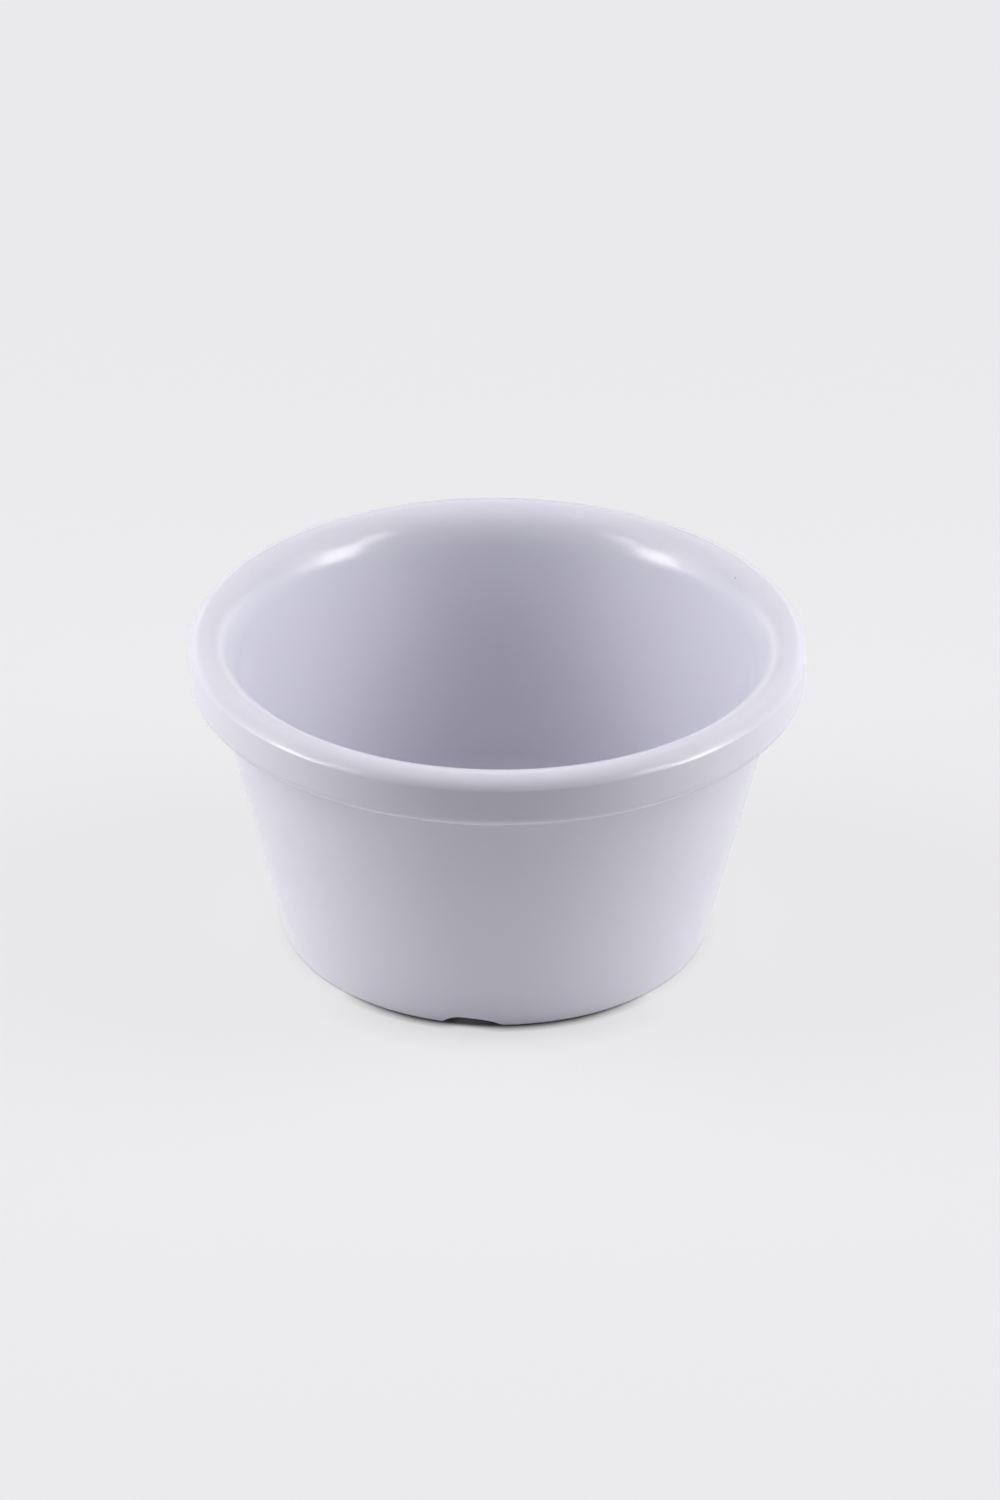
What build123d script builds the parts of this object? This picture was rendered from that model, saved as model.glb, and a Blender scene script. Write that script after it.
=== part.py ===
from build123d import *
import math
import os

# A moulded ramekin, in millimetres, standing on z = 0 with its axis on Z.
# It is one moulding. Its solids are the zones between its natural creases, and they meet face to face.
# An outline is drawn as radius and height, and turned about the axis.
# Azimuths are in degrees from the front, which faces -Y, and grow towards +X.

# Overall
rim_diameter = 86.0
height = 46.2
foot_diameter = 60.5  # where the line of the outer wall meets the table

# Rim, from the crown down to the ledge that juts out from the wall
rim_depth = 7.5
rim_overhang = 3.6
crown_radius = 2.7
crown_edge_angle = 24.0  # between the crown and the outer band, where they meet at an edge
band_edge_radius = 0.5  # rounds that edge
lip_depth = 7.6
rim_under_radius = 1.8
ledge_fillet_radius = 0.7

# Wall and well
wall_thickness = 3.7
well_corner_radius = 6.0
floor_thickness = 3.8

# Foot ring, round a shallow recess
recess_depth = 1.8
foot_land_width = 3.0
heel_radius = 0.8
recess_edge_radius = 0.5
recess_draft_angle = 15.0

# Drain notches across the foot ring
notch_count = 3
first_notch_azimuth = -6.0
notch_width = 8.4
notch_height = 1.4
notch_peak_shares = (-0.18, 1.0)  # across the width from its middle, and of the height
notch_left_bulge_shares = (-0.39, 0.66)
notch_right_bulge_shares = (0.24, 0.77)
cut_overrun = 2.0

rim_radius = rim_diameter / 2
foot_radius = foot_diameter / 2
neck_radius = rim_radius - rim_overhang
ledge_height = height - rim_depth
floor_height = recess_depth + floor_thickness

# The outer and the inner wall lean out by the same draft, so the wall has one thickness
wall_slope = (neck_radius - foot_radius) / ledge_height
draft_angle = math.degrees(math.atan(wall_slope))
draft_cosine = math.cos(math.radians(draft_angle))
draft_sine = math.sin(math.radians(draft_angle))


def outer_wall_radius(level):
    """Radius of the outer wall's line at a height."""
    return foot_radius + wall_slope * level


def inner_wall_radius(level):
    """Radius of the inner wall's line at a height."""
    return outer_wall_radius(level) - wall_thickness / draft_cosine


# The crown is an arc that is level at the top of the rim and would meet the band at an edge
top_radius = rim_radius - crown_radius * math.cos(math.radians(crown_edge_angle))
crown_centre = (top_radius, height - crown_radius)

# The edge between crown and band is rounded by an arc tangent to both
band_edge_reach = rim_radius - band_edge_radius - top_radius
band_edge_rise = math.sqrt((crown_radius - band_edge_radius) ** 2 - band_edge_reach**2)
band_edge_centre = (rim_radius - band_edge_radius, crown_centre[1] + band_edge_rise)
band_edge_turn = math.degrees(math.atan2(band_edge_rise, band_edge_reach))

# The lip is an arc of an ellipse that starts level at the top and ends tangent to the inner wall
lip_centre = (top_radius, height - lip_depth)
lip_reach = top_radius - inner_wall_radius(lip_centre[1])
lip_width = math.sqrt(lip_reach**2 - (wall_slope * lip_depth) ** 2)
lip_stop_angle = math.degrees(math.atan(wall_slope * lip_depth / lip_width))
lip_end = (
    lip_centre[0] - lip_width * math.cos(math.radians(lip_stop_angle)),
    lip_centre[1] + lip_depth * math.sin(math.radians(lip_stop_angle)),
)

# The fillet under the ledge is tangent to the ledge and to the outer wall
ledge_fillet_level = ledge_height - ledge_fillet_radius
ledge_fillet_centre = (
    outer_wall_radius(ledge_fillet_level) + ledge_fillet_radius / draft_cosine,
    ledge_fillet_level,
)
neck_point = (
    ledge_fillet_centre[0] - ledge_fillet_radius * draft_cosine,
    ledge_fillet_centre[1] + ledge_fillet_radius * draft_sine,
)

# The well's corner is tangent to the floor and to the inner wall
corner_level = floor_height + well_corner_radius
floor_radius = inner_wall_radius(corner_level) - well_corner_radius / draft_cosine

# The heel is tangent to the table and to the outer wall
heel_centre = (outer_wall_radius(heel_radius) - heel_radius / draft_cosine, heel_radius)
recess_edge_centre = (heel_centre[0] - foot_land_width, recess_edge_radius)


def turned(edges):
    """Turn a closed half outline about the axis into a solid."""
    return revolve(Plane.XZ * make_face(edges), Axis.Z)


def make_rim():
    """The thick rolled rim: lip, crown, outer band, ledge and the fillet under it."""
    band_top = (rim_radius, band_edge_centre[1])
    band_bottom = (rim_radius, ledge_height + rim_under_radius)
    ledge_edge = (rim_radius - rim_under_radius, ledge_height)
    ledge_root = (ledge_fillet_centre[0], ledge_height)
    band_bottom_centre = (ledge_edge[0], band_bottom[1])
    edges = [
        EllipticalCenterArc(lip_centre, lip_width, lip_depth, 90, arc_size=90 - lip_stop_angle),
        CenterArc(crown_centre, crown_radius, band_edge_turn, 90 - band_edge_turn),
        CenterArc(band_edge_centre, band_edge_radius, 0, band_edge_turn),
        Line(band_top, band_bottom),
        CenterArc(band_bottom_centre, rim_under_radius, 0, -90),
        Line(ledge_edge, ledge_root),
        CenterArc(ledge_fillet_centre, ledge_fillet_radius, 90, 90 - draft_angle),
        Line(neck_point, lip_end),
    ]
    return turned(edges)


def make_side_wall():
    """The tapered wall, with the round corner that leads into the floor of the well."""
    outer_foot = (outer_wall_radius(recess_depth), recess_depth)
    corner_foot = (floor_radius, recess_depth)
    floor_edge = (floor_radius, floor_height)
    corner_centre = (floor_radius, corner_level)
    corner_top = (
        corner_centre[0] + well_corner_radius * draft_cosine,
        corner_centre[1] - well_corner_radius * draft_sine,
    )
    edges = [
        Line(lip_end, neck_point),
        Line(neck_point, outer_foot),
        Line(outer_foot, corner_foot),
        Line(corner_foot, floor_edge),
        CenterArc(corner_centre, well_corner_radius, -90, 90 - draft_angle),
        Line(corner_top, lip_end),
    ]
    return turned(edges)


def make_well_floor():
    """The flat disc that closes the well, above the recess."""
    disc = Cylinder(floor_radius, floor_thickness, align=(Align.CENTER, Align.CENTER, Align.MIN))
    return Pos(0, 0, recess_depth) * disc


def make_notch_cutter(azimuth):
    """A channel that runs out across the foot ring, steeper on its left than on its right."""
    turn = math.radians(azimuth)
    outward = Vector(math.sin(turn), -math.cos(turn), 0)
    sideways = Vector(math.cos(turn), math.sin(turn), 0)
    left_end = (-notch_width / 2, 0)
    right_end = (notch_width / 2, 0)
    peak = (notch_peak_shares[0] * notch_width, notch_peak_shares[1] * notch_height)
    left_bulge = (notch_left_bulge_shares[0] * notch_width, notch_left_bulge_shares[1] * notch_height)
    right_bulge = (notch_right_bulge_shares[0] * notch_width, notch_right_bulge_shares[1] * notch_height)
    left_bottom = (left_end[0], -cut_overrun)
    right_bottom = (right_end[0], -cut_overrun)
    edges = [
        ThreePointArc(left_end, left_bulge, peak),
        ThreePointArc(peak, right_bulge, right_end),
        Line(right_end, right_bottom),
        Line(right_bottom, left_bottom),
        Line(left_bottom, left_end),
    ]
    start = outward * (floor_radius - cut_overrun)
    reach = outer_wall_radius(recess_depth) - floor_radius + 2 * cut_overrun
    return extrude(Plane(start, x_dir=sideways, z_dir=outward) * make_face(edges), reach)


def make_foot_ring():
    """The ring that stands on the table, crossed by the drain notches."""
    lean = math.radians(recess_draft_angle)
    heel_top = (heel_centre[0] + heel_radius * draft_cosine, heel_centre[1] - heel_radius * draft_sine)
    ring_top = (outer_wall_radius(recess_depth), recess_depth)
    edge_top = (
        recess_edge_centre[0] - recess_edge_radius * math.cos(lean),
        recess_edge_centre[1] - recess_edge_radius * math.sin(lean),
    )
    recess_corner = (edge_top[0] - (recess_depth - edge_top[1]) * math.tan(lean), recess_depth)
    edges = [
        Line((recess_edge_centre[0], 0), (heel_centre[0], 0)),
        CenterArc(heel_centre, heel_radius, -90, 90 - draft_angle),
        Line(heel_top, ring_top),
        Line(ring_top, recess_corner),
        Line(recess_corner, edge_top),
        CenterArc(recess_edge_centre, recess_edge_radius, 180 + recess_draft_angle, 90 - recess_draft_angle),
    ]
    ring = turned(edges)
    for number in range(notch_count):
        ring -= make_notch_cutter(first_notch_azimuth + number * 360 / notch_count)
    return ring


nodes = {
    "rim": make_rim(),
    "side_wall": make_side_wall(),
    "well_floor": make_well_floor(),
    "foot_ring": make_foot_ring(),
}

os.makedirs("parts", exist_ok=True)
for name, solid in nodes.items():
    solid.label = name
    export_step(solid, f"parts/{name}.step")

print(f"draft {draft_angle:.2f} degrees, lip {lip_width:.2f} mm wide and {lip_depth:.2f} mm deep")
print(f"lip ends at radius {lip_end[0]:.2f} mm, height {lip_end[1]:.2f} mm")
print(f"floor of the well {2 * floor_radius:.2f} mm across at height {floor_height:.2f} mm")
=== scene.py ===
import math

import bpy
from mathutils import Matrix, Vector


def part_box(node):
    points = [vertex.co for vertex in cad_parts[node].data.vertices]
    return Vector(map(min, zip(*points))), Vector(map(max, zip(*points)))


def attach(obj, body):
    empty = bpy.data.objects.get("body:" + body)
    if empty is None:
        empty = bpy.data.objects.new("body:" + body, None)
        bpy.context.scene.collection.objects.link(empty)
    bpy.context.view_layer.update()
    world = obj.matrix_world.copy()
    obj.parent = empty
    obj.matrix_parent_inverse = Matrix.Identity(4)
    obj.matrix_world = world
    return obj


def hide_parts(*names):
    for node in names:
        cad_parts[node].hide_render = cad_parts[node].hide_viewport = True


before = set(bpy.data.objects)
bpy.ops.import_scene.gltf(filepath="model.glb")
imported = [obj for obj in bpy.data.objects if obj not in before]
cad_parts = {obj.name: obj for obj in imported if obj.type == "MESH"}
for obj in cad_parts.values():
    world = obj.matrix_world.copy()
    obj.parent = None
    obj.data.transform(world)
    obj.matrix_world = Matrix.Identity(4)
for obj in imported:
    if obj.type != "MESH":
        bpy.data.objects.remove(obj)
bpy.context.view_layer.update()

bl_info = {
    "name": "Moulded Ramekin",
    "version": (1, 0, 0),
    "blender": (4, 5, 0),
    "location": "3D View > Sidebar > Ramekin",
    "description": "Turns the four zones of a moulded ramekin and sets it on a pale studio floor",
    "category": "Add Mesh",
}

# The fixed frame, in metres: its box, and the boxes of the four zones of the moulding
rim_low, rim_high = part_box("rim")
wall_low, wall_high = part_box("side_wall")
floor_low, floor_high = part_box("well_floor")
foot_low, foot_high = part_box("foot_ring")

MM = 0.001
PIXELS_LONG_SIDE = 1500
CREASE_ANGLE = math.radians(35)

# The arch of a drain notch: a smaller power makes a fuller shoulder
RIGHT_ARCH_POWER = 0.55
LEFT_ARCH_EXTRA = 0.2

# Scales of the finish, in features per metre
DRIFT_SCALE = 40.0
GLOSS_SCALE = 70.0
WAVE_SCALE = 160.0
GRAINS_PER_METRE = 190.0
SPECK_SHARPNESS = 2.5
SPECK_DEPTH = 0.8

# The painted contact shadow in the floor's shown colour: full in front, faint at the sides and behind
FRONT_RISE = 4.2
FRONT_START = 2.9
REAR_SHARE = 0.08
CONTACT_POWER = 1.6

# The painted shade under the foot: where its edge lies, inside the foot's top radius, and how soft it is
UNDER_INSET = 0.4 * MM
UNDER_FRONT_REACH = 0.55 * MM
UNDER_SOFTNESS = 0.9 * MM

# The backdrop fades out where a ray rises to this share of its length
BACKDROP_TOP = 0.3
BACKDROP_FADE = 8.0


class RamekinShape(bpy.types.PropertyGroup):
    """Sizes of the turned outline. The large ones come from the frame."""

    rim_radius: bpy.props.FloatProperty(
        name="Rim radius", description="Outer radius of the rolled rim",
        default=rim_high.x, min=0.02, max=0.1, precision=4, unit="LENGTH")
    height: bpy.props.FloatProperty(
        name="Height", description="Height of the crown above the table",
        default=rim_high.z, min=0.02, max=0.1, precision=4, unit="LENGTH")
    neck_radius: bpy.props.FloatProperty(
        name="Neck radius", description="Outer radius of the wall where the rim's fillet meets it",
        default=wall_high.x, min=0.02, max=0.1, precision=4, unit="LENGTH")
    neck_level: bpy.props.FloatProperty(
        name="Neck level", description="Height where the rim's fillet meets the wall",
        default=rim_low.z, min=0.01, max=0.1, precision=4, unit="LENGTH")
    ring_top_radius: bpy.props.FloatProperty(
        name="Foot top radius", description="Outer radius of the wall where the foot ring starts",
        default=foot_high.x, min=0.01, max=0.1, precision=4, unit="LENGTH")
    recess_depth: bpy.props.FloatProperty(
        name="Recess depth", description="Depth of the recess under the floor",
        default=foot_high.z, min=0.0005, max=0.01, precision=4, unit="LENGTH")
    floor_level: bpy.props.FloatProperty(
        name="Floor level", description="Height of the floor of the well",
        default=floor_high.z, min=0.002, max=0.02, precision=4, unit="LENGTH")
    floor_radius: bpy.props.FloatProperty(
        name="Floor radius", description="Radius of the flat part of the well's floor",
        default=floor_high.x, min=0.005, max=0.1, precision=4, unit="LENGTH")
    wall_thickness: bpy.props.FloatProperty(
        name="Wall thickness", description="Thickness of the tapered wall, square to its faces",
        default=3.7 * MM, min=0.001, max=0.01, precision=4, unit="LENGTH")
    crown_radius: bpy.props.FloatProperty(
        name="Crown radius", description="Radius of the domed crown of the rim",
        default=2.7 * MM, min=0.0005, max=0.005, precision=4, unit="LENGTH")
    crown_edge_angle: bpy.props.FloatProperty(
        name="Crown edge angle", description="Angle between the crown and the outer band at their edge",
        default=math.radians(24), min=0.0, max=math.radians(45), subtype="ANGLE")
    band_edge_radius: bpy.props.FloatProperty(
        name="Crown edge radius", description="Radius of the round between the crown and the outer band",
        default=0.5 * MM, min=0.0001, max=0.003, precision=4, unit="LENGTH")
    lip_depth: bpy.props.FloatProperty(
        name="Lip depth", description="Height of the elliptical lip inside the rim",
        default=7.6 * MM, min=0.001, max=0.01, precision=4, unit="LENGTH")
    under_radius: bpy.props.FloatProperty(
        name="Band under radius", description="Radius of the round between the outer band and the ledge",
        default=1.8 * MM, min=0.0005, max=0.003, precision=4, unit="LENGTH")
    fillet_radius: bpy.props.FloatProperty(
        name="Ledge fillet", description="Radius of the fillet between the ledge and the wall",
        default=0.7 * MM, min=0.0002, max=0.002, precision=4, unit="LENGTH")
    corner_radius: bpy.props.FloatProperty(
        name="Well corner radius", description="Radius of the round corner between wall and floor",
        default=6.0 * MM, min=0.001, max=0.012, precision=4, unit="LENGTH")
    heel_radius: bpy.props.FloatProperty(
        name="Heel radius", description="Radius of the foot's outer edge",
        default=0.8 * MM, min=0.0002, max=0.0015, precision=4, unit="LENGTH")
    land_width: bpy.props.FloatProperty(
        name="Foot land", description="Width of the flat ring that stands on the table",
        default=3.0 * MM, min=0.001, max=0.006, precision=4, unit="LENGTH")
    recess_edge_radius: bpy.props.FloatProperty(
        name="Recess edge radius", description="Radius of the foot's inner edge",
        default=0.5 * MM, min=0.0001, max=0.0015, precision=4, unit="LENGTH")
    recess_draft: bpy.props.FloatProperty(
        name="Recess draft", description="Lean of the recess's side",
        default=math.radians(15), min=0.0, max=math.radians(45), subtype="ANGLE")


class DrainNotches(bpy.types.PropertyGroup):
    """The shallow channels across the foot ring."""

    count: bpy.props.IntProperty(
        name="Count", description="How many notches cross the foot ring", default=3, min=0, max=8)
    first_azimuth: bpy.props.FloatProperty(
        name="First azimuth", description="Turn of the first notch from the front, towards +X",
        default=math.radians(-6), subtype="ANGLE")
    width: bpy.props.FloatProperty(
        name="Width", description="Width of a notch at the table",
        default=8.4 * MM, min=0.001, max=0.02, precision=4, unit="LENGTH")
    height: bpy.props.FloatProperty(
        name="Height", description="Height of a notch at its peak",
        default=1.4 * MM, min=0.0002, max=0.0018, precision=4, unit="LENGTH")
    peak_share: bpy.props.FloatProperty(
        name="Peak", description="Place of the peak across the width, from its middle",
        default=-0.18, min=-0.5, max=0.5, subtype="FACTOR")
    edge_round: bpy.props.FloatProperty(
        name="Edge round", description="How far the notch's edges are rounded over",
        default=0.22 * MM, min=0.0, max=0.001, precision=5, unit="LENGTH")


class MouldedFinish(bpy.types.PropertyGroup):
    """Colour and gloss of the moulding."""

    colour: bpy.props.FloatVectorProperty(
        name="Colour", description="Body colour of the moulding", subtype="COLOR",
        size=4, min=0.0, max=1.0, default=(0.625, 0.618, 0.705, 1.0))
    warm_colour: bpy.props.FloatVectorProperty(
        name="Warm cast", description="Slightly warmer cast that drifts through the body colour",
        subtype="COLOR", size=4, min=0.0, max=1.0, default=(0.633, 0.623, 0.695, 1.0))
    speck_colour: bpy.props.FloatVectorProperty(
        name="Specks", description="Colour of the tiny specks in the moulding", subtype="COLOR",
        size=4, min=0.0, max=1.0, default=(0.16, 0.15, 0.2, 1.0))
    speck_radius: bpy.props.FloatProperty(
        name="Speck radius", description="Radius of the largest specks",
        default=0.15 * MM, min=0.0, max=0.002, precision=5, unit="LENGTH")
    speck_share: bpy.props.FloatProperty(
        name="Speck share", description="Share of the moulding's grains that show as specks",
        default=0.45, min=0.0, max=1.0, subtype="FACTOR")
    roughness: bpy.props.FloatProperty(
        name="Roughness", description="Roughness of the moulded gloss",
        default=0.19, min=0.0, max=1.0, subtype="FACTOR")
    roughness_drift: bpy.props.FloatProperty(
        name="Roughness drift", description="How much the roughness changes over the surface",
        default=0.05, min=0.0, max=0.5, subtype="FACTOR")
    wave_height: bpy.props.FloatProperty(
        name="Wave height", description="Height of the faint waves left by the mould",
        default=0.01 * MM, min=0.0, max=0.001, precision=6, unit="LENGTH")


class StudioSetup(bpy.types.PropertyGroup):
    """Camera, lamps and floor."""

    elevation: bpy.props.FloatProperty(
        name="Elevation", description="Height of the camera above the horizon",
        default=math.radians(29.11), subtype="ANGLE")
    roll: bpy.props.FloatProperty(
        name="Roll", description="Turn of the camera about its own axis",
        default=math.radians(0.436), subtype="ANGLE")
    distance: bpy.props.FloatProperty(
        name="Distance", description="Distance from the camera to its aim",
        default=0.8, min=0.2, max=5.0, unit="LENGTH")
    aim_side: bpy.props.FloatProperty(
        name="Aim side", description="Aim of the camera, to the right of the axis",
        default=0.447 * MM, precision=5, unit="LENGTH")
    aim_level: bpy.props.FloatProperty(
        name="Aim level", description="Aim of the camera above the table",
        default=27.03 * MM, precision=4, unit="LENGTH")
    focal_pixels: bpy.props.FloatProperty(
        name="Focal length", description="Focal length in pixels of the 1000 by 1500 frame",
        default=5674.0, min=500.0, max=20000.0)
    background: bpy.props.FloatVectorProperty(
        name="Background", description="Colour of the floor and the backdrop", subtype="COLOR",
        size=4, min=0.0, max=1.0, default=(0.823, 0.823, 0.839, 1.0))
    table_colour: bpy.props.FloatVectorProperty(
        name="Table colour",
        description="Colour of the table round the ramekin, for the light it throws back",
        subtype="COLOR", size=4, min=0.0, max=1.0, default=(0.82, 0.82, 0.83, 1.0))
    # Painted pool of light: beyond the pool the floor throws back this darker colour, standing in for light
    # that falls off away from the ramekin
    beyond_pool_colour: bpy.props.FloatVectorProperty(
        name="Far colour", description="Colour of the floor beyond the table, for the light it throws back",
        subtype="COLOR", size=4, min=0.0, max=1.0, default=(0.2, 0.2, 0.205, 1.0))
    # Painted pool of light: its radius, where the colour the floor throws back dims
    light_pool_radius: bpy.props.FloatProperty(
        name="Table radius", description="Where the pale table gives way to the darker floor",
        default=0.16, min=0.05, max=3.0, unit="LENGTH")
    floor_level: bpy.props.FloatProperty(
        name="Floor level", description="Brightness of the lit floor away from the ramekin, where 1 is white",
        default=0.85, min=0.0, max=2.0)
    shadow_share: bpy.props.FloatProperty(
        name="Shadow share", description="How much of the cast shadow the floor shows",
        default=0.14, min=0.0, max=0.9, subtype="FACTOR")
    contact_reach: bpy.props.FloatProperty(
        name="Contact reach",
        description="How far the dark line of the contact shadow reaches out from the foot",
        default=1.6 * MM, min=0.0005, max=0.05, precision=4, unit="LENGTH")
    # Painted shade: how far the floor's colour is darkened right under the foot
    under_darkness: bpy.props.FloatProperty(
        name="Under darkness", description="How dark the floor is right under the foot",
        default=0.9, min=0.0, max=1.0, subtype="FACTOR")
    tail_reach: bpy.props.FloatProperty(
        name="Tail reach", description="How far the faint tail of the contact shadow reaches out",
        default=7.0 * MM, min=0.0005, max=0.05, precision=4, unit="LENGTH")
    tail_depth: bpy.props.FloatProperty(
        name="Tail depth", description="How dark the faint tail of the contact shadow is",
        default=0.3, min=0.0, max=1.0, subtype="FACTOR")
    gloss_level: bpy.props.FloatProperty(
        name="Gloss level", description="Brightness of the side softboxes in the gloss, where 1 is white",
        default=6.9, min=0.0, max=20.0)
    upper_level: bpy.props.FloatProperty(
        name="Upper level", description="Brightness of the panel over the right softbox in the gloss",
        default=4.6, min=0.0, max=20.0)
    left_upper_share: bpy.props.FloatProperty(
        name="Left upper share",
        description="How bright the panel over the left softbox is beside the right one",
        default=0.8, min=0.0, max=1.0, subtype="FACTOR")
    edge_level: bpy.props.FloatProperty(
        name="Edge level", description="Brightness of the strips behind the softboxes in the gloss",
        default=1.5, min=0.0, max=20.0)
    back_level: bpy.props.FloatProperty(
        name="Back level", description="Brightness of the pale panels behind the ramekin in the gloss",
        default=0.5, min=0.0, max=10.0)
    low_level: bpy.props.FloatProperty(
        name="Low level", description="Brightness of the low side panels that light the matt body",
        default=4.0, min=0.0, max=10.0)
    middle_level: bpy.props.FloatProperty(
        name="Middle level", description="Brightness of the middle side panels that light the matt body",
        default=5.3, min=0.0, max=10.0)
    high_level: bpy.props.FloatProperty(
        name="High level", description="Brightness of the high side panels that light the matt body",
        default=2.0, min=0.0, max=10.0)


def oval(centre, width, depth, start, end, step=3.0):
    """Points on an ellipse from one angle to another, in degrees, in even steps of about the given size."""
    count = max(2, math.ceil(abs(end - start) / step) + 1)
    angles = [math.radians(start + (end - start) * i / (count - 1)) for i in range(count)]
    return [(centre[0] + width * math.cos(a), centre[1] + depth * math.sin(a)) for a in angles]


def arc(centre, radius, start, end, step=3.0):
    """Points on a round arc from one angle to another, in degrees."""
    return oval(centre, radius, radius, start, end, step)


def straight(start, end, rows):
    """Points along a line, without its two ends."""
    return [tuple(s + (e - s) * i / rows for s, e in zip(start, end)) for i in range(1, rows)]


class Profile:
    """The half outline of the moulding, as radius and height, in metres."""

    def __init__(self, shape):
        self.shape = shape
        self.slope = (shape.neck_radius - shape.ring_top_radius) / (shape.neck_level - shape.recess_depth)
        self.draft = math.degrees(math.atan(self.slope))
        self.cosine = math.cos(math.atan(self.slope))
        self.sine = math.sin(math.atan(self.slope))
        self.ledge_level = shape.neck_level + shape.fillet_radius * (1 - self.sine)
        self.top_radius = shape.rim_radius - shape.crown_radius * math.cos(shape.crown_edge_angle)
        self.lip_centre = (self.top_radius, shape.height - shape.lip_depth)
        reach = self.top_radius - self.inner_radius(self.lip_centre[1])
        self.lip_width = math.sqrt(reach ** 2 - (self.slope * shape.lip_depth) ** 2)
        self.lip_stop = 180 - math.degrees(math.atan(self.slope * shape.lip_depth / self.lip_width))
        self.lip_end = self.lip()[-1]
        self.neck = (shape.neck_radius, shape.neck_level)

    def outer_radius(self, level):
        """Radius of the outer wall's line at a height."""
        return self.shape.ring_top_radius + self.slope * (level - self.shape.recess_depth)

    def inner_radius(self, level):
        """Radius of the inner wall's line at a height."""
        return self.outer_radius(level) - self.shape.wall_thickness / self.cosine

    def lip(self):
        """The lip, from level at the top of the rim down to where it becomes the inner wall."""
        return oval(self.lip_centre, self.lip_width, self.shape.lip_depth, 90, self.lip_stop, 1.5)

    def crown(self):
        """The crown, from the outer band over its softened edge to the top of the rim."""
        shape = self.shape
        centre = (self.top_radius, shape.height - shape.crown_radius)
        edge_x = shape.rim_radius - shape.band_edge_radius
        run = edge_x - self.top_radius
        rise = math.sqrt((shape.crown_radius - shape.band_edge_radius) ** 2 - run ** 2)
        turn = math.degrees(math.atan2(rise, run))
        edge = arc((edge_x, centre[1] + rise), shape.band_edge_radius, 0, turn, 3)
        return edge + arc(centre, shape.crown_radius, turn, 90, 1.5)[1:]

    def rim(self):
        """Closed outline of the rim: fillet, ledge, band, crown, lip and the cut across the wall."""
        shape = self.shape
        fillet_level = self.ledge_level - shape.fillet_radius
        fillet_centre = (self.outer_radius(fillet_level) + shape.fillet_radius / self.cosine, fillet_level)
        under_centre = (shape.rim_radius - shape.under_radius, self.ledge_level + shape.under_radius)
        fillet = arc(fillet_centre, shape.fillet_radius, 180 - self.draft, 90, 6)
        under = arc(under_centre, shape.under_radius, -90, 0, 3)
        crown = self.crown()
        lip = self.lip()
        points = fillet
        points += straight(fillet[-1], under[0], 4)
        points += under
        points += straight(under[-1], crown[0], 12)
        points += crown
        points += lip[1:]
        points += straight(lip[-1], fillet[0], 6)
        return points + points[:1]

    def side_wall(self):
        """Closed outline of the wall: outer face, cut, round corner and inner face."""
        shape = self.shape
        ring_top = (shape.ring_top_radius, shape.recess_depth)
        under_corner = (shape.floor_radius, shape.recess_depth)
        corner_centre = (shape.floor_radius, shape.floor_level + shape.corner_radius)
        corner = arc(corner_centre, shape.corner_radius, -90, -self.draft, 2)
        points = [self.neck]
        points += straight(self.neck, ring_top, 36)
        points += [ring_top]
        points += straight(ring_top, under_corner, 6)
        points += [under_corner]
        points += straight(under_corner, corner[0], 4)
        points += corner
        points += straight(corner[-1], self.lip_end, 32)
        points += [self.lip_end]
        points += straight(self.lip_end, self.neck, 6)
        return list(reversed(points + points[:1]))

    def well_floor(self):
        """Open outline of the floor disc, from the axis below to the axis above."""
        shape = self.shape
        low_edge = (shape.floor_radius, shape.recess_depth)
        high_edge = (shape.floor_radius, shape.floor_level)
        low_middle = (0.0, shape.recess_depth)
        high_middle = (0.0, shape.floor_level)
        points = [low_middle]
        points += straight(low_middle, low_edge, 24)
        points += [low_edge]
        points += straight(low_edge, high_edge, 4)
        points += [high_edge]
        points += straight(high_edge, high_middle, 24)
        points += [high_middle]
        return points

    def foot_ring(self):
        """Closed outline of the foot ring: land, heel, outer face, top and the recess's side."""
        shape = self.shape
        lean = math.degrees(shape.recess_draft)
        heel_x = self.outer_radius(shape.heel_radius) - shape.heel_radius / self.cosine
        heel = arc((heel_x, shape.heel_radius), shape.heel_radius, -90, -self.draft, 5)
        edge_centre = (heel_x - shape.land_width, shape.recess_edge_radius)
        edge = arc(edge_centre, shape.recess_edge_radius, 180 + lean, 270, 6)
        ring_top = (shape.ring_top_radius, shape.recess_depth)
        rise = shape.recess_depth - edge[0][1]
        recess_corner = (edge[0][0] - rise * math.tan(shape.recess_draft), shape.recess_depth)
        points = list(edge)
        points += straight(edge[-1], heel[0], 10)
        points += heel
        points += straight(heel[-1], ring_top, 16)
        points += [ring_top]
        points += straight(ring_top, recess_corner, 4)
        points += [recess_corner]
        points += straight(recess_corner, edge[0], 14)
        return points + points[:1]


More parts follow.
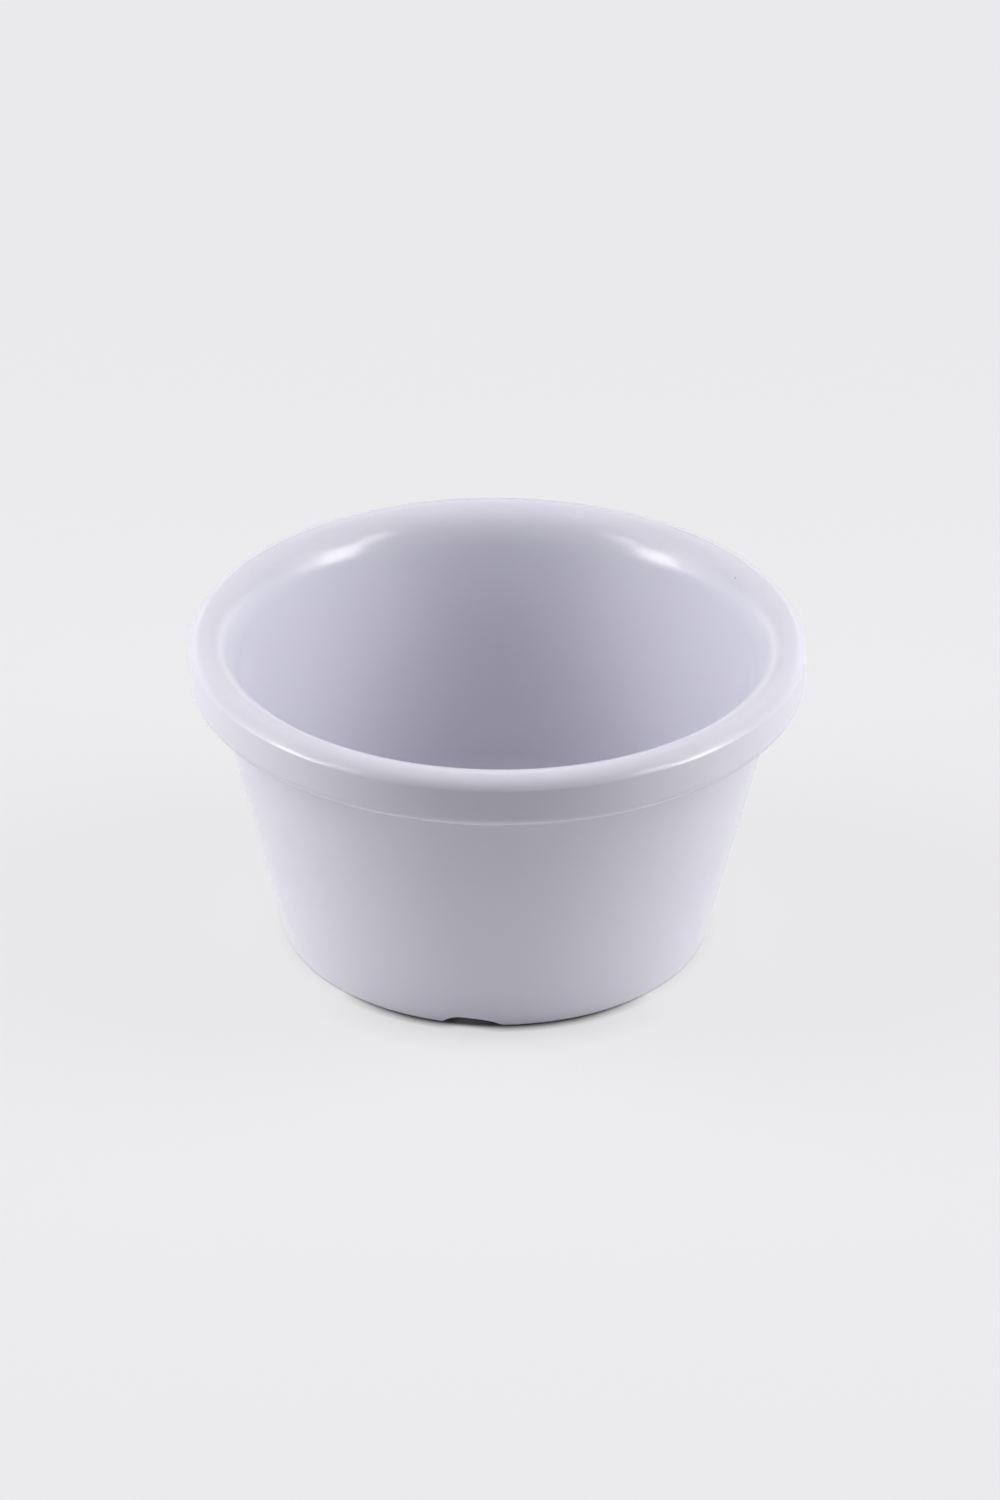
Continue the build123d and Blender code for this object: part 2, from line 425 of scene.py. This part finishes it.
class Field:
    """A socket in a node tree, with Python's arithmetic."""

    def __init__(self, graph, socket):
        self.graph = graph
        self.socket = socket

    def maths(self, operation, *others):
        """A Math node on this value and others."""
        return self.graph.node("ShaderNodeMath", {"operation": operation}, [self, *others]).out(0)

    def __add__(self, other):
        return self.maths("ADD", other)

    def __radd__(self, other):
        return self.maths("ADD", other)

    def __sub__(self, other):
        return self.maths("SUBTRACT", other)

    def __rsub__(self, other):
        return self.graph.node("ShaderNodeMath", {"operation": "SUBTRACT"}, [other, self]).out(0)

    def __mul__(self, other):
        return self.maths("MULTIPLY", other)

    def __truediv__(self, other):
        return self.maths("DIVIDE", other)

    def __pow__(self, other):
        return self.maths("POWER", other)

    def __gt__(self, other):
        return self.maths("GREATER_THAN", other)

    def __lt__(self, other):
        return self.maths("LESS_THAN", other)


class Made:
    """A node just made, whose outputs are read by name or number."""

    def __init__(self, graph, node):
        self.graph = graph
        self.node = node

    def out(self, key):
        """One output, as a field."""
        return Field(self.graph, self.node.outputs[key])


class Graph:
    """A node tree that is written as calls and expressions."""

    def __init__(self, tree):
        self.tree = tree

    def node(self, kind, settings=None, inputs=None):
        """Make a node, set what it is, then give its sockets their values or links."""
        node = self.tree.nodes.new(kind)
        for name, value in (settings or {}).items():
            setattr(node, name, value)
        pairs = enumerate(inputs) if isinstance(inputs, (list, tuple)) else (inputs or {}).items()
        for key, value in pairs:
            socket = node.inputs[key]
            if isinstance(value, Field):
                self.tree.links.new(value.socket, socket)
            else:
                socket.default_value = value
        return Made(self, node)


def new_geometry_tree(name, inputs):
    """An empty Geometry Nodes tree with a geometry input and output and the named inputs."""
    tree = bpy.data.node_groups.new(name, "GeometryNodeTree")
    tree.interface.new_socket("Geometry", in_out="INPUT", socket_type="NodeSocketGeometry")
    for label, kind in inputs.items():
        tree.interface.new_socket(label, in_out="INPUT", socket_type=kind)
    tree.interface.new_socket("Geometry", in_out="OUTPUT", socket_type="NodeSocketGeometry")
    return tree


def finish_tree(graph, geometry, start):
    """Shade the result, make it real and give it its finish."""
    smooth = graph.node("GeometryNodeSetShadeSmooth", {"domain": "FACE"}, {"Geometry": geometry})
    fold = graph.node("GeometryNodeInputMeshEdgeAngle").out("Unsigned Angle") > start.out("Crease Angle")
    creased = graph.node(
        "GeometryNodeSetShadeSmooth", {"domain": "EDGE"},
        {"Geometry": smooth.out("Geometry"), "Selection": fold, "Shade Smooth": False})
    real = graph.node("GeometryNodeRealizeInstances", None, {"Geometry": creased.out("Geometry")})
    dressed = graph.node(
        "GeometryNodeSetMaterial", None,
        {"Geometry": real.out("Geometry"), "Material": start.out("Finish")})
    graph.node("NodeGroupOutput", None, {"Geometry": dressed.out("Geometry")})


def turning_tree():
    """Geometry Nodes that turn a row of points, the half outline, about the Z axis."""
    tree = new_geometry_tree("turned_outline", {
        "Columns": "NodeSocketInt",
        "Weld Distance": "NodeSocketFloat",
        "Crease Angle": "NodeSocketFloat",
        "Finish": "NodeSocketMaterial",
    })
    graph = Graph(tree)
    start = graph.node("NodeGroupInput")
    outline = start.out("Geometry")
    rows = graph.node(
        "GeometryNodeAttributeDomainSize", {"component": "MESH"}, {"Geometry": outline}).out("Point Count")
    grid = graph.node("GeometryNodeMeshGrid", None, {
        "Size X": 1.0, "Size Y": 1.0, "Vertices X": start.out("Columns") + 1, "Vertices Y": rows})
    place = graph.node("ShaderNodeSeparateXYZ", None, [graph.node("GeometryNodeInputPosition").out(0)])
    turn = (place.out("X") + 0.5) * math.tau
    row = ((place.out("Y") + 0.5) * (rows - 1)).maths("ROUND")
    picked = graph.node(
        "GeometryNodeSampleIndex", {"data_type": "FLOAT_VECTOR", "domain": "POINT"},
        {"Geometry": outline, "Value": graph.node("GeometryNodeInputPosition").out(0), "Index": row})
    point = graph.node("ShaderNodeSeparateXYZ", None, [picked.out(0)])
    around = graph.node("ShaderNodeCombineXYZ", None, {
        "X": point.out("X") * turn.maths("SINE"),
        "Y": point.out("X") * turn.maths("COSINE") * -1.0,
        "Z": point.out("Z"),
    })
    turned = graph.node("GeometryNodeSetPosition", None, {
        "Geometry": grid.out("Mesh"), "Position": around.out(0)})
    welded = graph.node("GeometryNodeMergeByDistance", None, {
        "Geometry": turned.out("Geometry"), "Distance": start.out("Weld Distance")})
    finish_tree(graph, welded.out("Geometry"), start)
    return tree


def notching_tree():
    """Geometry Nodes that raise the underside of a ring into evenly spaced drain notches."""
    tree = new_geometry_tree("drain_notches", {
        "Count": "NodeSocketInt",
        "First Azimuth": "NodeSocketFloat",
        "Width": "NodeSocketFloat",
        "Height": "NodeSocketFloat",
        "Peak Share": "NodeSocketFloat",
        "Edge Round": "NodeSocketFloat",
        "Crease Angle": "NodeSocketFloat",
        "Finish": "NodeSocketMaterial",
    })
    graph = Graph(tree)
    start = graph.node("NodeGroupInput")
    place = graph.node("ShaderNodeSeparateXYZ", None, [graph.node("GeometryNodeInputPosition").out(0)])
    east, north, level = place.out("X"), place.out("Y"), place.out("Z")
    radius = (east * east + north * north).maths("SQRT")
    turn = east.maths("ARCTAN2", north * -1.0) - start.out("First Azimuth")
    sector = graph.node("ShaderNodeMath", {"operation": "DIVIDE"}, [math.tau, start.out("Count")]).out(0)
    near = turn - (turn / sector).maths("ROUND") * sector
    width = start.out("Width")
    across = near.maths("SINE") * radius - start.out("Peak Share") * width
    on_left = across < 0.0
    left_span = width * (start.out("Peak Share") + 0.5)
    right_span = width * (0.5 - start.out("Peak Share"))
    share = across / (left_span * on_left + right_span * (1 - on_left))
    power = on_left * LEFT_ARCH_EXTRA + RIGHT_ARCH_POWER
    arch = (1 - share * share).maths("MAXIMUM", 0.0) ** power
    roof = arch * start.out("Height")
    raised = level.maths("SMOOTH_MAX", roof, arch * start.out("Edge Round"))
    moved = graph.node("ShaderNodeCombineXYZ", None, {"X": east, "Y": north, "Z": raised})
    cut = graph.node("GeometryNodeSetPosition", None, {
        "Geometry": start.out("Geometry"), "Position": moved.out(0)})
    finish_tree(graph, cut.out("Geometry"), start)
    return tree


def add_tree(piece, tree, values):
    """Put a Geometry Nodes tree on an object, with its inputs set by their identifiers."""
    modifier = piece.modifiers.new(tree.name, "NODES")
    modifier.node_group = tree
    for item in tree.interface.items_tree:
        if item.item_type == "SOCKET" and item.in_out == "INPUT" and item.name in values:
            modifier[item.identifier] = values[item.name]


def made_plain(name, piece):
    """A plain mesh object from what the modifiers of a piece give, in place of the piece."""
    graph = bpy.context.evaluated_depsgraph_get()
    mesh = bpy.data.meshes.new_from_object(piece.evaluated_get(graph), depsgraph=graph)
    mesh.name = name
    bpy.data.objects.remove(piece)
    plain = bpy.data.objects.new(name, mesh)
    bpy.context.scene.collection.objects.link(plain)
    return plain


def turned_piece(name, outline, columns, material, notches=None):
    """Turn a half outline into a finished mesh, with drain notches if they are given."""
    mesh = bpy.data.meshes.new(name + "_outline")
    points = [(radius, 0.0, level) for radius, level in outline]
    edges = [(i, i + 1) for i in range(len(points) - 1)]
    mesh.from_pydata(points, edges, [])
    piece = bpy.data.objects.new(name + "_outline", mesh)
    bpy.context.scene.collection.objects.link(piece)
    shared = {"Crease Angle": CREASE_ANGLE, "Finish": material}
    add_tree(piece, turning_tree(), {"Columns": columns, "Weld Distance": 0.001 * MM, **shared})
    if notches:
        values = {
            "Count": notches.count, "First Azimuth": notches.first_azimuth, "Width": notches.width,
            "Height": notches.height, "Peak Share": notches.peak_share, "Edge Round": notches.edge_round}
        add_tree(piece, notching_tree(), {**values, **shared})
    return made_plain(name, piece)


def moulding_material():
    """Glossy moulded plastic: pale body colour, faint drifts, tiny specks and the mould's faint waves."""
    finish = bpy.context.scene.moulded_finish
    material = bpy.data.materials.get("lavender_moulding")
    if material:
        return material
    material = bpy.data.materials.new("lavender_moulding")
    material.use_nodes = True
    material.node_tree.nodes.clear()
    graph = Graph(material.node_tree)
    place = graph.node("ShaderNodeTexCoord").out("Object")
    drift = graph.node("ShaderNodeTexNoise", None, {
        "Vector": place, "Scale": DRIFT_SCALE, "Detail": 2.0}).out("Fac")
    clean = graph.node("ShaderNodeMix", {"data_type": "RGBA"}, {
        0: drift, 6: finish.colour, 7: finish.warm_colour}).out(2)
    grains = graph.node("ShaderNodeTexVoronoi", None, {
        "Vector": place, "Scale": GRAINS_PER_METRE, "Randomness": 1.0})
    chance = graph.node("ShaderNodeSeparateColor", None, [grains.out("Color")])
    size = finish.speck_radius * GRAINS_PER_METRE
    inside = (1 - grains.out("Distance") * (1 / size)).maths("MAXIMUM", 0.0)
    shown = chance.out("Red") < finish.speck_share
    speck = (inside * SPECK_SHARPNESS).maths("MINIMUM", SPECK_DEPTH) * shown
    body = graph.node("ShaderNodeMix", {"data_type": "RGBA"}, {
        0: speck, 6: clean, 7: finish.speck_colour}).out(2)
    gloss = graph.node("ShaderNodeTexNoise", None, {
        "Vector": place, "Scale": GLOSS_SCALE, "Detail": 2.0}).out("Fac")
    roughness = finish.roughness + (gloss - 0.5) * finish.roughness_drift
    wave = graph.node("ShaderNodeTexNoise", None, {
        "Vector": place, "Scale": WAVE_SCALE, "Detail": 1.0}).out("Fac")
    bump = graph.node("ShaderNodeBump", None, {
        "Strength": 1.0, "Distance": finish.wave_height, "Height": wave}).out("Normal")
    shader = graph.node("ShaderNodeBsdfPrincipled", None, {
        "Base Color": body, "Roughness": roughness, "IOR": 1.55, "Normal": bump})
    graph.node("ShaderNodeOutputMaterial", None, {"Surface": shader.out("BSDF")})
    return material


def settle(piece, node):
    """Let a finished piece stand for its CAD node."""
    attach(piece, "root")
    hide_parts(node)


class RAMEKIN_OT_rim(bpy.types.Operator):
    """Make the thick rolled rim, with its lip, crown, outer band and ledge"""

    bl_idname = "ramekin.rim"
    bl_label = "Rolled Rim"

    def execute(self, context):
        outline = Profile(context.scene.ramekin_shape).rim()
        settle(turned_piece("rolled_rim", outline, 480, moulding_material()), "rim")
        return {"FINISHED"}


class RAMEKIN_OT_side_wall(bpy.types.Operator):
    """Make the tapered wall, with the round corner at its foot"""

    bl_idname = "ramekin.side_wall"
    bl_label = "Tapered Wall"

    def execute(self, context):
        outline = Profile(context.scene.ramekin_shape).side_wall()
        settle(turned_piece("tapered_wall", outline, 480, moulding_material()), "side_wall")
        return {"FINISHED"}


class RAMEKIN_OT_well_floor(bpy.types.Operator):
    """Make the floor of the well"""

    bl_idname = "ramekin.well_floor"
    bl_label = "Well Floor"

    def execute(self, context):
        outline = Profile(context.scene.ramekin_shape).well_floor()
        settle(turned_piece("well_disc", outline, 240, moulding_material()), "well_floor")
        return {"FINISHED"}


class RAMEKIN_OT_foot_ring(bpy.types.Operator):
    """Make the foot ring and its drain notches"""

    bl_idname = "ramekin.foot_ring"
    bl_label = "Foot Ring"

    def execute(self, context):
        outline = Profile(context.scene.ramekin_shape).foot_ring()
        notches = context.scene.drain_notches
        settle(turned_piece("notched_foot", outline, 960, moulding_material(), notches), "foot_ring")
        return {"FINISHED"}


def make_camera(studio):
    """The camera, aimed along +Y and down at the ramekin."""
    data = bpy.data.cameras.new("studio_camera")
    data.sensor_width = 36.0
    data.lens = studio.focal_pixels / PIXELS_LONG_SIDE * data.sensor_width
    data.clip_start = 0.05
    data.clip_end = 50.0
    camera = bpy.data.objects.new("studio_camera", data)
    bpy.context.scene.collection.objects.link(camera)
    forward = Vector((0.0, math.cos(studio.elevation), -math.sin(studio.elevation)))
    level_right = Vector((1.0, 0.0, 0.0))
    level_up = level_right.cross(forward)
    right = math.cos(studio.roll) * level_right + math.sin(studio.roll) * level_up
    up = right.cross(forward)
    aim = Vector((studio.aim_side, 0.0, studio.aim_level))
    turn = Matrix((right, up, -forward)).transposed().to_4x4()
    camera.matrix_world = Matrix.Translation(aim - studio.distance * forward) @ turn
    bpy.context.scene.camera = camera


def seen_rays(graph):
    """1 for rays that show the stage: from the camera, in gloss and through clear things."""
    ray = graph.node("ShaderNodeLightPath")
    seen = ray.out("Is Camera Ray").maths("MAXIMUM", ray.out("Is Glossy Ray"))
    return seen.maths("MAXIMUM", ray.out("Is Transmission Ray"))


def floor_material(studio):
    """Pale floor, even far away, with part of the cast shadow, painted shade at and under the foot and a
    painted pool of light in the colour it throws back.
    """
    material = bpy.data.materials.new("pale_floor")
    material.use_nodes = True
    material.node_tree.nodes.clear()
    graph = Graph(material.node_tree)
    seen = seen_rays(graph)
    near = graph.node("ShaderNodeAmbientOcclusion", {"samples": 5}, {"Distance": studio.contact_reach})
    tail = graph.node("ShaderNodeAmbientOcclusion", {"samples": 5}, {"Distance": studio.tail_reach})
    place = graph.node("ShaderNodeTexCoord").out("Object")
    spot = graph.node("ShaderNodeSeparateXYZ", None, [place])
    away = graph.node("ShaderNodeVectorMath", {"operation": "LENGTH"}, [place]).out("Value")
    # Painted shade: a front factor weights the painted contact shadow from ambient occlusion, and a circle
    # under the foot is darkened
    frontness = spot.out("Y") / away * -FRONT_RISE - FRONT_START
    ahead = frontness.maths("MINIMUM", 1.0).maths("MAXIMUM", REAR_SHARE)
    edge = ahead * UNDER_FRONT_REACH + (foot_high.x - UNDER_INSET)
    under = ((edge - away) / UNDER_SOFTNESS).maths("MINIMUM", 1.0).maths("MAXIMUM", 0.0)
    line = 1 - (1 - near.out("AO") ** CONTACT_POWER) * ahead
    tail_shade = 1 - (1 - tail.out("AO")) * ahead * studio.tail_depth
    contact = line * tail_shade * (1 - under * studio.under_darkness)
    share = studio.shadow_share
    lift = [(level - share * studio.floor_level) / (1 - share) for level in studio.background[:3]]
    shaded = graph.node("ShaderNodeVectorMath", {"operation": "SCALE"}, {
        "Vector": lift, "Scale": contact}).out("Vector")
    # Painted pool of light: from half to one and a half pool radii out, the thrown-back colour dims to the
    # colour beyond the pool and the shown floor turns plain
    far = ((away / studio.light_pool_radius) - 0.5).maths("MINIMUM", 1.0).maths("MAXIMUM", 0.0)
    shown = graph.node("ShaderNodeMix", {"data_type": "RGBA"}, {
        0: far, 6: shaded, 7: studio.background}).out(2)
    glow = graph.node("ShaderNodeEmission", None, {"Color": shown, "Strength": 1.0}).out(0)
    bounce = graph.node("ShaderNodeMix", {"data_type": "RGBA"}, {
        0: far, 6: studio.table_colour, 7: studio.beyond_pool_colour}).out(2)
    colour = graph.node("ShaderNodeMix", {"data_type": "RGBA"}, {
        0: seen, 6: bounce, 7: studio.table_colour}).out(2)
    matt = graph.node("ShaderNodeBsdfDiffuse", None, {"Color": colour}).out(0)
    even = 1 - (1 - far) * share
    surface = graph.node("ShaderNodeMixShader", None, [seen * even, matt, glow]).out(0)
    graph.node("ShaderNodeOutputMaterial", None, {"Surface": surface})
    return material


def make_floor(studio):
    """A wide pale floor."""
    mesh = bpy.data.meshes.new("studio_floor")
    half = 3.0
    corners = [(-half, -half, 0), (half, -half, 0), (half, half, 0), (-half, half, 0)]
    mesh.from_pydata(corners, [], [(0, 1, 2, 3)])
    floor = bpy.data.objects.new("studio_floor", mesh)
    bpy.context.scene.collection.objects.link(floor)
    mesh.materials.append(floor_material(studio))


def make_softbox(name, place, size, radiance, reach):
    """A soft lamp that faces the ramekin, at a place given as azimuth, elevation and distance.

    Its reach is MATT or GLOSS: which part of the finish it lights. A radiance of 1 is white.
    """
    azimuth, elevation, distance = place
    aim = Vector((0.0, 0.0, 0.04))
    around, rise = math.radians(azimuth), math.radians(elevation)
    toward = Vector((
        math.sin(around) * math.cos(rise), -math.cos(around) * math.cos(rise), math.sin(rise)))
    data = bpy.data.lights.new(name, "AREA")
    data.shape = "RECTANGLE"
    data.size, data.size_y = size
    data.energy = radiance * size[0] * size[1] * math.pi
    lamp = bpy.data.objects.new(name, data)
    lamp.location = aim + distance * toward
    lamp.rotation_mode = "QUATERNION"
    lamp.rotation_quaternion = (-toward).to_track_quat("-Z", "Y")
    lamp.visible_camera = False
    lamp.visible_diffuse = reach == "MATT"
    lamp.visible_glossy = reach == "GLOSS"
    bpy.context.scene.collection.objects.link(lamp)


def make_world(studio):
    """An unlit room, with the pale backdrop showing low down all round."""
    world = bpy.data.worlds.new("studio_world")
    world.use_nodes = True
    world.node_tree.nodes.clear()
    graph = Graph(world.node_tree)
    toward = graph.node("ShaderNodeTexCoord").out("Object")
    rise = graph.node("ShaderNodeSeparateXYZ", None, [toward]).out("Z")
    low = ((BACKDROP_TOP - rise) * BACKDROP_FADE).maths("MINIMUM", 1.0).maths("MAXIMUM", 0.0)
    shown = graph.node("ShaderNodeBackground", None, {"Color": studio.background, "Strength": 1.0}).out(0)
    room = graph.node("ShaderNodeBackground", None, {"Color": (0, 0, 0, 1), "Strength": 0.0}).out(0)
    surface = graph.node("ShaderNodeMixShader", None, [seen_rays(graph) * low, room, shown]).out(0)
    graph.node("ShaderNodeOutputWorld", None, {"Surface": surface})
    bpy.context.scene.world = world


class RAMEKIN_OT_studio(bpy.types.Operator):
    """Set up the camera, the pale floor, the lamps and the world"""

    bl_idname = "ramekin.studio"
    bl_label = "Studio"

    def execute(self, context):
        studio = context.scene.studio_setup
        context.scene.view_settings.view_transform = "Standard"
        make_camera(studio)
        make_floor(studio)
        make_world(studio)
        # Each side: its sign, its name, its softbox's elevation and its share of the upper level
        sides = ((-1, "left_", 8, studio.left_upper_share), (1, "right_", 10, 1.0))
        for side, name, rise, share in sides:
            upper = studio.upper_level * share
            make_softbox(name + "softbox", (side * 72.5, rise, 0.6), (0.2, 0.3), studio.gloss_level, "GLOSS")
            make_softbox(name + "upper", (side * 59, 29, 0.61), (0.13, 0.16), upper, "GLOSS")
            make_softbox(name + "edge", (side * 87, 14, 0.61), (0.2, 0.38), studio.edge_level, "GLOSS")
            make_softbox(name + "back", (side * 155, 28, 1.0), (0.85, 0.95), studio.back_level, "GLOSS")
            make_softbox(name + "low", (side * 88, 12, 0.6), (0.5, 0.3), studio.low_level, "MATT")
            make_softbox(name + "middle", (side * 93, 38, 0.6), (0.42, 0.3), studio.middle_level, "MATT")
            make_softbox(name + "high", (side * 90, 65, 0.7), (0.4, 0.4), studio.high_level, "MATT")
        return {"FINISHED"}


class RAMEKIN_PT_panel(bpy.types.Panel):
    """Sizes, finish and pieces of the ramekin"""

    bl_label = "Ramekin"
    bl_idname = "RAMEKIN_PT_panel"
    bl_space_type = "VIEW_3D"
    bl_region_type = "UI"
    bl_category = "Ramekin"

    def draw(self, context):
        for name in SETTINGS:
            group = getattr(context.scene, name)
            for item in group.bl_rna.properties:
                if item.identifier not in ("rna_type", "name"):
                    self.layout.prop(group, item.identifier)
        for operator in OPERATORS:
            self.layout.operator(operator.bl_idname)


SETTINGS = {
    "ramekin_shape": RamekinShape,
    "drain_notches": DrainNotches,
    "moulded_finish": MouldedFinish,
    "studio_setup": StudioSetup,
}
OPERATORS = (
    RAMEKIN_OT_studio,
    RAMEKIN_OT_rim,
    RAMEKIN_OT_side_wall,
    RAMEKIN_OT_well_floor,
    RAMEKIN_OT_foot_ring,
)


def register():
    """Register the classes and hang the settings on the scene."""
    for made in (*SETTINGS.values(), *OPERATORS, RAMEKIN_PT_panel):
        bpy.utils.register_class(made)
    for name, group in SETTINGS.items():
        setattr(bpy.types.Scene, name, bpy.props.PointerProperty(type=group))


def unregister():
    """Take the settings off the scene and unregister the classes."""
    for name in SETTINGS:
        delattr(bpy.types.Scene, name)
    for made in reversed((*SETTINGS.values(), *OPERATORS, RAMEKIN_PT_panel)):
        bpy.utils.unregister_class(made)


def main():
    """Build the studio and every piece."""
    register()
    bpy.ops.ramekin.studio()
    bpy.ops.ramekin.rim()
    bpy.ops.ramekin.side_wall()
    bpy.ops.ramekin.well_floor()
    bpy.ops.ramekin.foot_ring()


if __name__ == "__main__":
    main()
